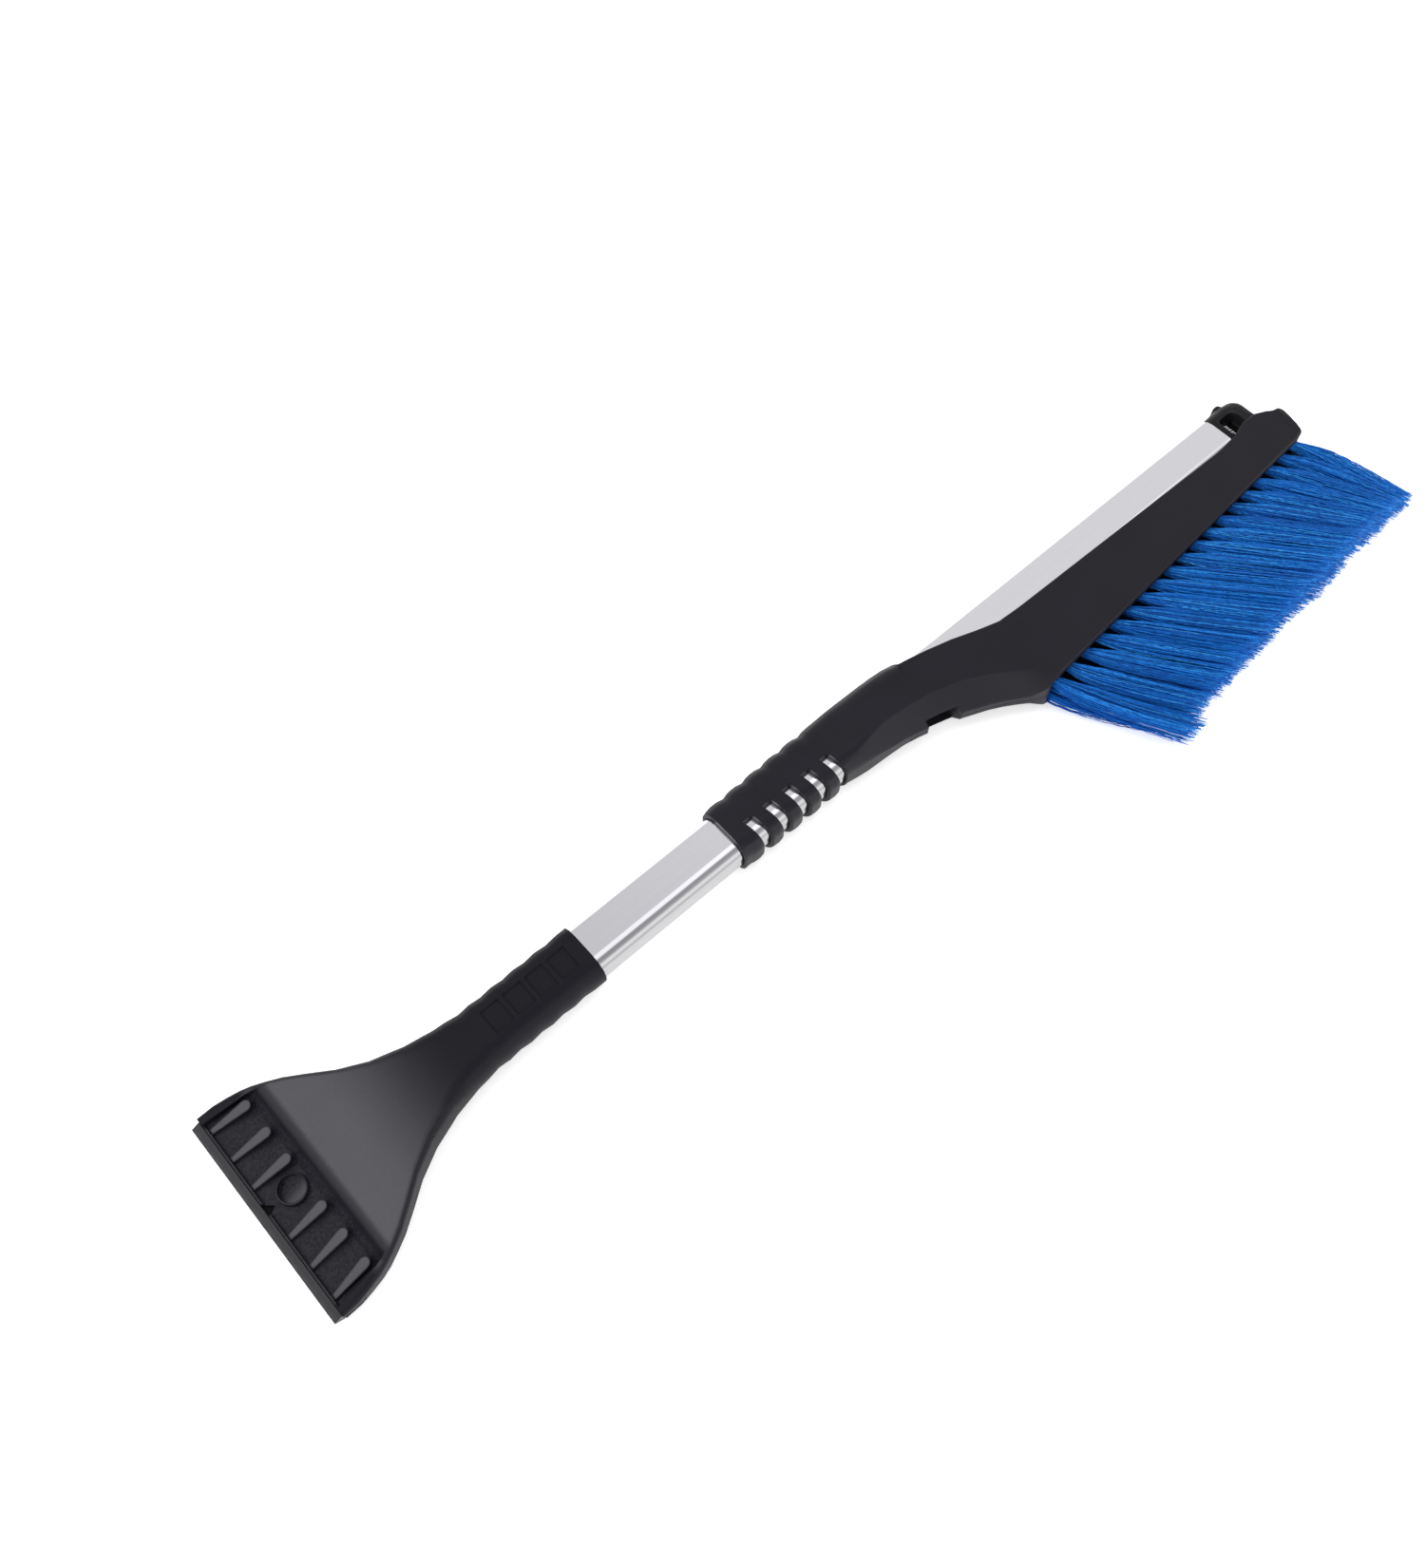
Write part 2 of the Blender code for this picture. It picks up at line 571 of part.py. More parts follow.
def carrier_cutters(tag):
    """The hollows that the two halves of the carrier share."""
    tube_room = tube_outline(RUNNING_GAP)
    half_z = BUTTON_HEIGHT / 2 + BUTTON_SIDE_GAP
    channel_start = BUTTON_X - BUTTON_WIDTH / 2 - STROKE - BUTTON_SIDE_GAP
    channel_end = BUTTON_X + BUTTON_WIDTH / 2 + BUTTON_SIDE_GAP
    low = PLATE
    high = BEAM_TOP - PLATE
    made = [
        along_x(f"{tag}_tube_room", [(COLLAR_START - 5, tube_room), (NOSE_END + 2, tube_room)]),
        box(f"{tag}_channel", (channel_start, CHANNEL_Y, TUBE_Z - half_z),
            (channel_end, -10, TUBE_Z + half_z)),
        box(f"{tag}_window", (WINDOW_START, -35, WINDOW_LOW), (WINDOW_END, -10, WINDOW_HIGH)),
        prism(f"{tag}_bar_room", bar_plan(-6, BAR_RECESS + BAR_DEPTH + GAP, BAR_START - GAP, BAR_END + GAP),
              low, high),
    ]
    pockets = [(404, 427), (442, 474), (490, 522), (538, 556)]
    for i, (x0, x1) in enumerate(pockets):
        deep = BAR_RECESS + BAR_DEPTH - 1
        plan = [(x0, edge_y(x0) + deep), (x1, edge_y(x1) + deep), (x1, CHANNEL_Y - 2), (x0, CHANNEL_Y - 2)]
        if i == 0:
            plan[0] = (x0, -33)
        made.append(prism(f"{tag}_pocket_{i}", plan, low, high))
    for i, centre in enumerate(SHELL_SCREWS):
        made.append(screw_clearance(f"{tag}_screw_space_{i}", centre, 0.8, 17.0, head=1.8))
    return made


def collar_slots():
    """The open, slightly slanted slots round the collar's bristle side."""
    made = []
    slope = RING_SLANT / (SLOT_TOP_Y - COLLAR_NEAR_Y)
    for i in range(SLOTS):
        x = SLOT_FIRST_X + RING_PITCH * i
        plan = []
        for side, y in ((-1, SLOT_TOP_Y), (1, SLOT_TOP_Y), (1, -25.0), (-1, -25.0)):
            plan.append((x + side * SLOT_WIDTH / 2 + slope * (SLOT_TOP_Y - y), y))
        made.append(prism(f"collar_slot_{i}", plan, -5, 35))
    return made


def brush_body():
    body = carrier_solid("brush_body", finish="black_plastic", smooth=True)
    cut(body, *carrier_cutters("body"))
    cut(body, *collar_slots())
    cut(body, box("cover_space", (COVER_START, -60, -5), (BEAM_END + 5, 30, TUBE_Z + GAP / 2)))
    return body


def rear_cover():
    cover = carrier_solid("rear_cover", finish="black_plastic", smooth=True)
    cut(cover, *carrier_cutters("cover"))
    cut(cover,
        box("body_space", (COLLAR_START - 5, -60, TUBE_Z - GAP / 2), (BEAM_END + 5, 30, 40)),
        box("collar_space", (COLLAR_START - 5, -60, -5), (COVER_START + GAP, 30, 40)))
    return cover


def row_height(row):
    return TUBE_Z + ROW_RISE * (1 if row == 0 else -1)


def tuft_root(column):
    """Where a tuft leaves the bar."""
    x = FIRST_TUFT_X + (LAST_TUFT_X - FIRST_TUFT_X) * column / (COLUMNS - 1)
    return x, edge_y(x) + BAR_RECESS


def bristle_bar():
    low = PLATE + GAP
    high = BEAM_TOP - PLATE - GAP
    bar = prism("bristle_bar", bar_plan(BAR_RECESS, BAR_RECESS + BAR_DEPTH, BAR_START, BAR_END),
                low, high, finish="black_plastic")
    for row in range(2):
        for column in range(COLUMNS):
            x, y = tuft_root(column)
            z = row_height(row)
            angles = [2 * math.pi * (k + 0.5) / TUFT_SIDES for k in range(TUFT_SIDES)]
            ring = [(x + HOLE_RADIUS * math.cos(a), z + HOLE_RADIUS * math.sin(a)) for a in angles]
            hole = loft(f"tuft_hole_{row}_{column}", [[(u, y - 3, v) for u, v in ring],
                                                      [(u, y + HOLE_DEPTH, v) for u, v in ring]])
            cut(bar, hole)
    return bar


def tuft(row, column):
    """One bristle tuft as a plain bent, flaring rod."""
    x, y = tuft_root(column)
    z = row_height(row)
    across = 2 * column / (COLUMNS - 1) - 1
    lean = math.radians(33 - (11 if across > 0 else 6 - 7 * row) * across ** 2)
    rise = (12 - 16 * across ** 2) if row == 0 else -3.9
    length = TUFT_LENGTH - (5 if across > 0 else 1) * across ** 2
    rings = []
    for share in (-0.055, 0.03, 0.35, 0.68, 1.0):
        reach = length * share
        bend = max(0.0, share)
        across_x = reach * math.sin(lean) * bend ** 0.4 if share > 0.05 else 0.0
        centre = Vector((x + across_x, y - reach * math.cos(lean), z + rise * bend ** 1.3))
        wide = TUFT_RADIUS + 0.55 * bend
        tall = TUFT_RADIUS + 0.95 * bend
        angles = [2 * math.pi * (k + 0.5) / TUFT_SIDES for k in range(TUFT_SIDES)]
        rings.append([(centre.x + wide * math.cos(a), centre.y, centre.z + tall * math.sin(a))
                      for a in angles])
    return loft(f"tuft_{'ab'[row]}_{column + 1:02d}", rings, finish="bristle_blue", smooth=True)


# The whole object -------------------------------------------------------------------

def centre_on_floor():
    """Moves everything so that the origin is at the bottom centre of the object's box."""
    bpy.context.view_layer.update()
    graph = bpy.context.evaluated_depsgraph_get()
    corners = []
    for made in bpy.context.scene.objects:
        if made.hide_render:
            continue
        solid = made.evaluated_get(graph)
        corners += [made.matrix_world @ v.co for v in solid.data.vertices]
    low = Vector([min(c[i] for c in corners) for i in range(3)])
    high = Vector([max(c[i] for c in corners) for i in range(3)])
    shift = Vector(((low.x + high.x) / 2, (low.y + high.y) / 2, low.z))
    for made in bpy.context.scene.objects:
        made.location -= shift
    print("origin in design millimetres:", [round(v / MM, 3) for v in shift])


def main():
    for old in list(bpy.data.objects):
        bpy.data.objects.remove(old, do_unlink=True)
    handle_tube()
    scraper_head()
    scraper_blade()
    for i, y in enumerate((-BLADE_SCREW_Y, BLADE_SCREW_Y)):
        screw(f"blade_screw_{i + 1}", (BLADE_SCREW_X, y), 0.6, 7.0)
    for i, x in enumerate(HEAD_SCREW_XS):
        screw(f"head_screw_{i + 1}", (x, 0), HEAD_SCREW_LOW, HEAD_SCREW_LENGTH - GAP)
    end_plug()
    screw("plug_screw", (PLUG_SCREW_X, 0), PLUG_SCREW_LOW, PLUG_SCREW_LENGTH - GAP)
    lock_button()
    lock_spring()
    brush_body()
    rear_cover()
    bristle_bar()
    for i, centre in enumerate(SHELL_SCREWS):
        screw(f"shell_screw_{i + 1}", centre, 0.8, 16.6, head=1.8)
    for row in range(2):
        for column in range(COLUMNS):
            tuft(row, column)
    centre_on_floor()


main()
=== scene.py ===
import math
import random

import bpy
import numpy as np
from mathutils import Matrix, Vector


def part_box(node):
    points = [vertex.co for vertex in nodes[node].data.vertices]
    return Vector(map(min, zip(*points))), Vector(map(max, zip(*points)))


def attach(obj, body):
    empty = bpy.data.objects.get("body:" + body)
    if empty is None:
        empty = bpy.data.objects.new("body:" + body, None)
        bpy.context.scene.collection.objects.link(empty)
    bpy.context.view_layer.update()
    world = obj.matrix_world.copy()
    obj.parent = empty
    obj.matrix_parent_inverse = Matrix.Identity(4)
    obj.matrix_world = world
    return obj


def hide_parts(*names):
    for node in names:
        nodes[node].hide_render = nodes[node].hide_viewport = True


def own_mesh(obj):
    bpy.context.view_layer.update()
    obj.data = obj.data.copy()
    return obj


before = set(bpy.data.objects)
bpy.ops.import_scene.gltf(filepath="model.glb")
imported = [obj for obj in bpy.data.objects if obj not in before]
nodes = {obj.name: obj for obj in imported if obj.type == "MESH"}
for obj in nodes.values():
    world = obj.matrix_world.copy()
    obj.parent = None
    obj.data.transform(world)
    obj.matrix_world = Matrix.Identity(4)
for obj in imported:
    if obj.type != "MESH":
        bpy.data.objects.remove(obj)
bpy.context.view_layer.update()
MM = 0.001

# The design frame: x from the blade's edge, y from the tube's axis, z from the floor.
blade_low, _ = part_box("scraper_blade")
tube_low, tube_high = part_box("handle_tube")
ORIGIN = Vector((blade_low.x, (tube_low.y + tube_high.y) / 2, 0.0))


def place(x, y, z):
    """A point given in design millimetres, in the row frame."""
    return ORIGIN + Vector((x, y, z)) * MM


# Node building -----------------------------------------------------------------------

class Tree:
    """A node tree, with short names for the nodes that this scene needs.

    A value is a number, a colour as a tuple of three, or another node's output.
    """

    def __init__(self, tree):
        self.tree = tree

    def node(self, kind, **settings):
        made = self.tree.nodes.new(kind)
        for key, value in settings.items():
            setattr(made, key, value)
        return made

    def put(self, value, socket):
        if isinstance(value, (int, float)):
            socket.default_value = value
        elif isinstance(value, tuple):
            socket.default_value = (*value, 1.0)
        else:
            self.tree.links.new(value, socket)

    def math(self, operation, *values):
        made = self.node("ShaderNodeMath", operation=operation)
        for value, socket in zip(values, made.inputs):
            self.put(value, socket)
        return made.outputs[0]

    def product(self, first, *others):
        for value in others:
            first = self.math("MULTIPLY", first, value)
        return first

    def ramp(self, value, low, high, out_low=0.0, out_high=1.0, smooth=False):
        made = self.node("ShaderNodeMapRange")
        if smooth:
            made.interpolation_type = "SMOOTHSTEP"
        for name, number in (("From Min", low), ("From Max", high),
                             ("To Min", out_low), ("To Max", out_high)):
            made.inputs[name].default_value = number
        self.put(value, made.inputs["Value"])
        return made.outputs["Result"]

    def within(self, value, low, high, soft):
        """1 between low and high, with soft ends that reach past both."""
        return self.product(self.ramp(value, low - soft, low), self.ramp(value, high + soft, high))

    def mix(self, factor, a, b):
        made = self.node("ShaderNodeMix", data_type="RGBA")
        self.put(factor, made.inputs["Factor"])
        self.put(a, made.inputs[6])
        self.put(b, made.inputs[7])
        return made.outputs[2]

    def split(self, vector):
        made = self.node("ShaderNodeSeparateXYZ")
        self.put(vector, made.inputs[0])
        return made.outputs


class Shader(Tree):
    """A material and its principled surface."""

    def __init__(self, name):
        self.material = bpy.data.materials.new(name)
        self.material.use_nodes = True
        super().__init__(self.material.node_tree)
        self.surface = self.tree.nodes["Principled BSDF"]

    def set(self, name, value):
        self.put(value, self.surface.inputs[name])

    def position(self, stretch=(1, 1, 1)):
        """Object position in design millimetres, times stretch."""
        coordinates = self.node("ShaderNodeTexCoord")
        shift = self.node("ShaderNodeVectorMath", operation="SUBTRACT")
        shift.inputs[1].default_value = ORIGIN
        self.put(coordinates.outputs["Object"], shift.inputs[0])
        scale = self.node("ShaderNodeVectorMath", operation="MULTIPLY")
        scale.inputs[1].default_value = [s / MM for s in stretch]
        self.put(shift.outputs[0], scale.inputs[0])
        return scale.outputs[0]

    def noise(self, scale, detail=2.0, stretch=(1, 1, 1)):
        made = self.node("ShaderNodeTexNoise")
        made.inputs["Scale"].default_value = scale
        made.inputs["Detail"].default_value = detail
        made.inputs["Roughness"].default_value = 0.5
        self.put(self.position(stretch), made.inputs["Vector"])
        return made.outputs["Fac"]

    def rounded(self, radius, samples):
        """The surface's normal, with its edges rounded by a radius in millimetres."""
        made = self.node("ShaderNodeBevel", samples=samples)
        made.inputs["Radius"].default_value = radius * MM
        return made.outputs["Normal"]

    def bump(self, height, strength, distance, normal):
        made = self.node("ShaderNodeBump")
        made.inputs["Strength"].default_value = strength
        made.inputs["Distance"].default_value = distance * MM
        self.put(height, made.inputs["Height"])
        self.put(normal, made.inputs["Normal"])
        self.set("Normal", made.outputs["Normal"])


# Materials ---------------------------------------------------------------------------
# Colours are linear. Places and lengths are in design millimetres. A pair of numbers is where a
# ramp is 0 and where it is 1.

BLACK = (0.0, 0.0, 0.0)
WHITE = (1.0, 1.0, 1.0)

# Noise, as scale and detail. Nearly all its values lie between the two of NOISE_RANGE.
PATCHES = (0.035, 3)         # slow changes in tone over a moulding
GRAIN = (1.7, 2)             # the spark-eroded grain of the mould
GRAIN_DEPTH = 0.05
NOISE_RANGE = (0.3, 0.7)


def moulded_plastic(name, dark, light, roughness, shine, grain, rounding=0.5, opening=None):
    """Textured black plastic: a fine grain, with slight patches in tone and gloss.

    The walls of an opening, given by its ends in x and in y and by its lowest z, are painted a
    little lighter, as painted fill light, because little light reaches them.
    """
    s = Shader(name)
    patches = s.noise(*PATCHES)
    fine = s.noise(*GRAIN)
    colour = s.mix(s.ramp(patches, 0.35, 0.7), dark, light)
    if opening:
        along, across, lowest = opening
        x, y, z = s.split(s.position())
        inside = s.product(s.within(x, *along, 0.6), s.within(y, *across, 0.6),
                           s.ramp(z, lowest - 1, lowest))
        # Painted fill light on the opening's walls.
        colour = s.mix(inside, colour, (0.0170, 0.0160, 0.0190))
    s.set("Base Color", colour)
    slow = s.ramp(patches, *NOISE_RANGE, roughness - 0.05, roughness + 0.05)
    s.set("Roughness", s.math("ADD", slow, s.ramp(fine, *NOISE_RANGE, -0.03, 0.03)))
    s.set("Specular IOR Level", shine)
    s.bump(fine, grain, GRAIN_DEPTH, s.rounded(rounding, 4))
    return s.material


HEAD_SLOPE_X = (4.0, 28.5)   # the head's top rises from the lip to the face between these
HEAD_SLOPE_Z = (10.9, 15.2)
RECESS_DEPTH = (0.9, 2.0)    # below that slope
RECESS_X = (31.5, 28.5)
RIM_X = (28.0, 22.0)
RIM_Y = (44.6, 45.8)         # the rims at the recess's two sides, painted darker as shade
FACE_X = (26.5, 28.5)
FACE_SHADE_X = (34.6, 31.6)  # the face darkens towards the recess, as painted shade
FACE_SHADE = 0.65
PAINTED_EDGE_SHADE_Z = (0.955, 0.84)       # the normal's z on the head's rounded edges, painted darker as shade
GRIP_X = (46.0, 98.0)        # the satin fan turns into the matt grip, painted darker as shade


def head_plastic():
    """The scraper head: satin fan, darker recess, matt grip; painted shade on sides and rims."""
    s = Shader("scraper_head_plastic")
    x, y, z = s.split(s.position())
    patches = s.noise(*PATCHES)
    fine = s.noise(*GRAIN)
    grip = s.ramp(x, *GRIP_X, smooth=True)
    below = s.math("SUBTRACT", s.ramp(x, *HEAD_SLOPE_X, *HEAD_SLOPE_Z), z)
    in_recess = s.product(s.ramp(below, *RECESS_DEPTH, smooth=True), s.ramp(x, *RECESS_X))
    painted_recess_shade = s.product(s.ramp(x, *FACE_SHADE_X, smooth=True), s.ramp(x, *FACE_X))
    painted_rim_shade = s.product(s.ramp(s.math("ABSOLUTE", y), *RIM_Y), s.ramp(x, *RIM_X))
    turned = s.ramp(s.split(s.rounded(1.6, 6))[2], *PAINTED_EDGE_SHADE_Z, smooth=True)
    # Painted shade: the face by the recess, the rims, the rounded edges and the grip take the dark
    # colour.
    matt_and_painted_shade = s.product(painted_recess_shade, FACE_SHADE)
    for zone in (grip, in_recess, painted_rim_shade, turned):
        matt_and_painted_shade = s.math("MAXIMUM", matt_and_painted_shade, zone)
    satin = s.mix(s.ramp(patches, *NOISE_RANGE),
                  (0.0150, 0.0140, 0.0225), (0.0200, 0.0187, 0.0285))
    sandy = s.mix(s.ramp(s.noise(0.9, 3), 0.35, 0.65),
                  (0.0075, 0.0070, 0.0115), (0.0210, 0.0200, 0.0265))
    colour = s.mix(matt_and_painted_shade, satin, (0.0050, 0.0046, 0.0085))
    s.set("Base Color", s.mix(in_recess, colour, sandy))
    s.set("Roughness", s.math("ADD", s.ramp(matt_and_painted_shade, 0, 1, 0.40, 0.54),
                              s.ramp(fine, *NOISE_RANGE, -0.04, 0.04)))
    s.set("Specular IOR Level", s.ramp(matt_and_painted_shade, 0, 1, 0.50, 0.15))
    s.bump(fine, 0.35, GRAIN_DEPTH, s.rounded(0.8, 4))
    return s.material


TUBE_MIDDLE_Z = 13.2
TUBE_CORE_Y = 5.5            # the tube's corners turn about the corners of this inner rectangle
TUBE_CORE_Z = 2.0
PAST_GRIP_X = (170.0, 240.0)         # the tube is painted darker by the grip, as shade
TO_BRUSH_X = (235.0, 400.0)          # and painted lighter towards the brush, as light
BESIDE_BEAM_X = (425.0, 455.0)
# Round the tube, by the normal's y and z, which are named across and up.
# The side towards the bristles is painted darker, as shade, and so is the shoulder beside the beam.
BRISTLE_SIDE = (0.1, -0.1)           # across
BEAM_EDGE = (-0.06, -0.22)           # across
SIDE_TOP = (0.84, 0.76)              # up
SIDE_MIDDLE = (0.54, 0.38)           # up


def drawn_aluminium():
    """Extruded tube: round corners, faint long die lines, satin sheen, painted shade and light."""
    s = Shader("extruded_aluminium")
    x, y, z = s.split(s.position())
    lines = s.noise(1.0, 2, stretch=(0.010, 1.6, 1.6))
    cloud = s.noise(0.02, 2)

    def beyond(value, half):
        inside = s.math("MINIMUM", s.math("MAXIMUM", value, -half), half)
        return s.math("SUBTRACT", value, inside)

    outward = s.node("ShaderNodeCombineXYZ")
    s.put(beyond(y, TUBE_CORE_Y), outward.inputs[1])
    s.put(beyond(s.math("SUBTRACT", z, TUBE_MIDDLE_Z), TUBE_CORE_Z), outward.inputs[2])
    unit = s.node("ShaderNodeVectorMath", operation="NORMALIZE")
    s.put(outward.outputs[0], unit.inputs[0])
    normal = unit.outputs[0]
    _, across, up = s.split(normal)

    bright = s.mix(s.ramp(lines, *NOISE_RANGE), (0.745, 0.740, 0.780), (0.770, 0.765, 0.805))
    # Painted shade near the grip and painted light towards the brush.
    bright = s.mix(s.ramp(x, *PAST_GRIP_X), s.mix(0.10, bright, BLACK), bright)
    bright = s.mix(s.ramp(x, *TO_BRUSH_X), bright, s.mix(0.20, bright, WHITE))
    # Painted shade: the beam's dark reflection on the tube's shoulder beside it.
    beam_painted_shade = s.product(s.ramp(x, *BESIDE_BEAM_X), s.ramp(across, *BEAM_EDGE))
    bright = s.mix(beam_painted_shade, bright, (0.330, 0.330, 0.340))
    # Painted shade on the side towards the bristles.
    painted_side_shade = s.mix(s.ramp(up, *SIDE_MIDDLE, smooth=True),
                 (0.290, 0.290, 0.295), (0.430, 0.430, 0.440))
    painted_side_mask = s.product(s.ramp(up, *SIDE_TOP, smooth=True), s.ramp(across, *BRISTLE_SIDE))
    s.set("Base Color", s.mix(painted_side_mask, bright, painted_side_shade))
    s.set("Metallic", 1.0)
    s.set("Roughness", s.math("ADD", s.ramp(lines, *NOISE_RANGE, 0.075, 0.095),
                              s.ramp(cloud, *NOISE_RANGE, -0.01, 0.01)))
    s.bump(lines, 0.05, 0.02, normal)
    return s.material


def plated(name, spots, dark, light, metallic, roughness):
    """A plated metal with a slightly uneven tone and gloss."""
    s = Shader(name)
    s.set("Base Color", s.mix(s.noise(spots, 3), dark, light))
    s.set("Metallic", metallic)
    s.set("Roughness", s.ramp(s.noise(1.3), *NOISE_RANGE, *roughness))
    return s.material


BLADE_EDGE_X = (2.2, 0.3)    # the blade's scuffs grow towards its edge
BLADE_JOINT_X = (3.6, 4.4)   # where the blade enters the head, painted near black as shade


def blade_plastic():
    """The blade: harder and smoother, a scuffed edge, painted shade where it enters the head."""
    s = Shader("blade_plastic")
    x, _, _ = s.split(s.position())
    scuffs = s.noise(1.0, 4, stretch=(2.0, 0.25, 1))
    edge = s.product(s.ramp(x, *BLADE_EDGE_X), s.ramp(scuffs, 0.35, 0.7))
    worn = s.mix(edge, (0.0150, 0.0145, 0.0190), (0.050, 0.049, 0.056))
    # Painted shade: near black where the blade enters the head.
    s.set("Base Color", s.mix(s.ramp(x, *BLADE_JOINT_X), worn, (0.002, 0.002, 0.002)))
    s.set("Specular IOR Level", s.ramp(x, *BLADE_JOINT_X, 0.5, 0.05))
    s.set("Roughness", s.ramp(scuffs, *NOISE_RANGE, 0.36, 0.5))
    s.bump(scuffs, 0.3, 0.05, s.rounded(0.3, 4))
    return s.material


# The line in which the bristles leave the beam, in plan.
BEAM_EDGE_START = (415.0, -43.6)
BEAM_EDGE_SLOPE = 0.07225

FILAMENT_TONES = [(0.0, (0.003, 0.076, 0.36)), (0.35, (0.004, 0.158, 0.63)),
                  (0.75, (0.009, 0.250, 0.86)), (1.0, (0.052, 0.430, 0.96))]
CRIMP_SHADE = (0.003, 0.104, 0.48)
TIP_TONE = (0.050, 0.430, 0.90)
TIP_OUT = (42.0, 64.0)       # out from the beam's edge
TIP_SHARE = 0.09
ROOT_SHADE = (0.001, 0.010, 0.045)
ROOT_OUT = (19.0, 7.0)
ROOT_Z = (14.5, 11.5)        # the painted shade lies low between the roots
ROOT_X = (414.0, 418.0)      # and ends before the first bundle, along a line that leans with it
ROOT_LEAN = 0.65
FRINGE_TONE = (0.78, 0.80, 0.90)


def filament_blue():
    """Crimped blue filaments, each its own tone: lighter tips, painted shade between the roots."""
    s = Shader("filament_blue")
    x, y, z = s.split(s.position())
    edge = s.math("ADD", s.product(x, BEAM_EDGE_SLOPE),
                  BEAM_EDGE_START[1] - BEAM_EDGE_START[0] * BEAM_EDGE_SLOPE)
    out = s.math("SUBTRACT", edge, y)

    tones = s.node("ShaderNodeValToRGB")
    stops = tones.color_ramp.elements
    for i, (at, colour) in enumerate(FILAMENT_TONES):
        stop = stops[i] if i < 2 else stops.new(at)
        stop.position = at
        stop.color = (*colour, 1.0)
    s.put(s.node("ShaderNodeNewGeometry").outputs["Random Per Island"], tones.inputs["Fac"])

    # Painted shade of the fine crimps, which also set the roughness.
    crimp = s.ramp(s.noise(1.0, 2, stretch=(0.8, 0.40, 0.8)), 0.38, 0.60, 0.35, 1.0)
    colour = s.mix(crimp, CRIMP_SHADE, tones.outputs["Color"])
    colour = s.mix(s.ramp(out, *TIP_OUT, 0.0, TIP_SHARE), colour, TIP_TONE)
    beside_first = s.math("SUBTRACT", x, s.product(out, ROOT_LEAN))
    # Painted shade, low between the roots.
    painted_root_shade = s.product(s.ramp(z, *ROOT_Z), s.ramp(out, *ROOT_OUT), s.ramp(beside_first, *ROOT_X))
    colour = s.mix(painted_root_shade, colour, ROOT_SHADE)
    # Painted highlight: the first bundle's outer strands are made pale.
    pale = s.node("ShaderNodeAttribute", attribute_name="pale")
    s.set("Base Color", s.mix(pale.outputs["Fac"], colour, FRINGE_TONE))
    s.set("Roughness", s.ramp(crimp, 0.35, 1.0, 0.58, 0.42))
    s.set("Specular IOR Level", 0.20)
    return s.material


SPRING_VIEW = ((586.8, 598.2), (-6.3, 5.2), 9.0)     # the plug's window, in x, in y and from z; its walls get painted fill light

FINISHES = {
    "handle_tube": drawn_aluminium(),
    "scraper_head": head_plastic(),
    "scraper_blade": blade_plastic(),
    "end_plug": moulded_plastic(
        "plug_plastic", (0.0036, 0.0033, 0.0052), (0.0054, 0.0050, 0.0072),
        roughness=0.44, shine=0.17, grain=0.25, opening=SPRING_VIEW),
    "lock_button": moulded_plastic(
        "button_plastic", (0.0050, 0.0047, 0.0070), (0.0070, 0.0066, 0.0095),
        roughness=0.42, shine=0.25, grain=0.25),
    "brush_body": moulded_plastic(
        "carrier_plastic", (0.0066, 0.0060, 0.0105), (0.0085, 0.0077, 0.0130),
        roughness=0.46, shine=0.20, grain=0.35, rounding=1.1),
    "rear_cover": moulded_plastic(
        "cover_plastic", (0.0085, 0.0080, 0.0115), (0.0110, 0.0104, 0.0140),
        roughness=0.52, shine=0.22, grain=0.35),
    "bristle_bar": moulded_plastic(
        "bar_plastic", (0.0030, 0.0030, 0.0035), (0.0045, 0.0045, 0.0052),
        roughness=0.58, shine=0.15, grain=0.25),
}
FASTENER_STEEL = plated("plated_steel", 0.6, (0.78, 0.78, 0.79), (0.93, 0.93, 0.94),
                        metallic=1.0, roughness=(0.28, 0.42))
# The spring is pale and hardly metallic, so that it still shows in the plug's shade.
SPRING_STEEL = plated("spring_steel", 0.9, (0.90, 0.88, 0.90), (0.99, 0.97, 0.99),
                      metallic=0.1, roughness=(0.32, 0.46))
FILAMENT = filament_blue()


# The CAD pieces ----------------------------------------------------------------------

SHARP_EDGE = math.radians(32)
JOIN_DISTANCE = 0.001 * MM


def smoothing():
    """A modifier's node group that joins the facets and shades smoothly across shallow angles."""
    group = bpy.data.node_groups.new("smooth_by_angle", "GeometryNodeTree")
    for way in ("INPUT", "OUTPUT"):
        group.interface.new_socket("Geometry", in_out=way, socket_type="NodeSocketGeometry")
    join = group.nodes.new("GeometryNodeMergeByDistance")
    join.inputs["Distance"].default_value = JOIN_DISTANCE
    faces = group.nodes.new("GeometryNodeSetShadeSmooth")
    edges = group.nodes.new("GeometryNodeSetShadeSmooth")
    edges.domain = "EDGE"
    shallow = group.nodes.new("FunctionNodeCompare")
    shallow.operation = "LESS_THAN"
    shallow.inputs["B"].default_value = SHARP_EDGE
    turn = group.nodes.new("GeometryNodeInputMeshEdgeAngle")
    group.links.new(turn.outputs["Unsigned Angle"], shallow.inputs["A"])
    group.links.new(shallow.outputs["Result"], edges.inputs["Shade Smooth"])
    chain = [group.nodes.new("NodeGroupInput"), join, faces, edges,
             group.nodes.new("NodeGroupOutput")]
    for before, after in zip(chain, chain[1:]):
        group.links.new(before.outputs[0], after.inputs[0])
    return group


def smooth(obj, group):
    """Smooth shading by modifiers. The vertices stay as they are."""
    normals = obj.data.attributes.get("custom_normal")
    if normals:
        obj.data.attributes.remove(normals)
    obj.modifiers.new("smooth", "NODES").node_group = group
    obj.modifiers.new("weighted", "WEIGHTED_NORMAL").keep_sharp = True


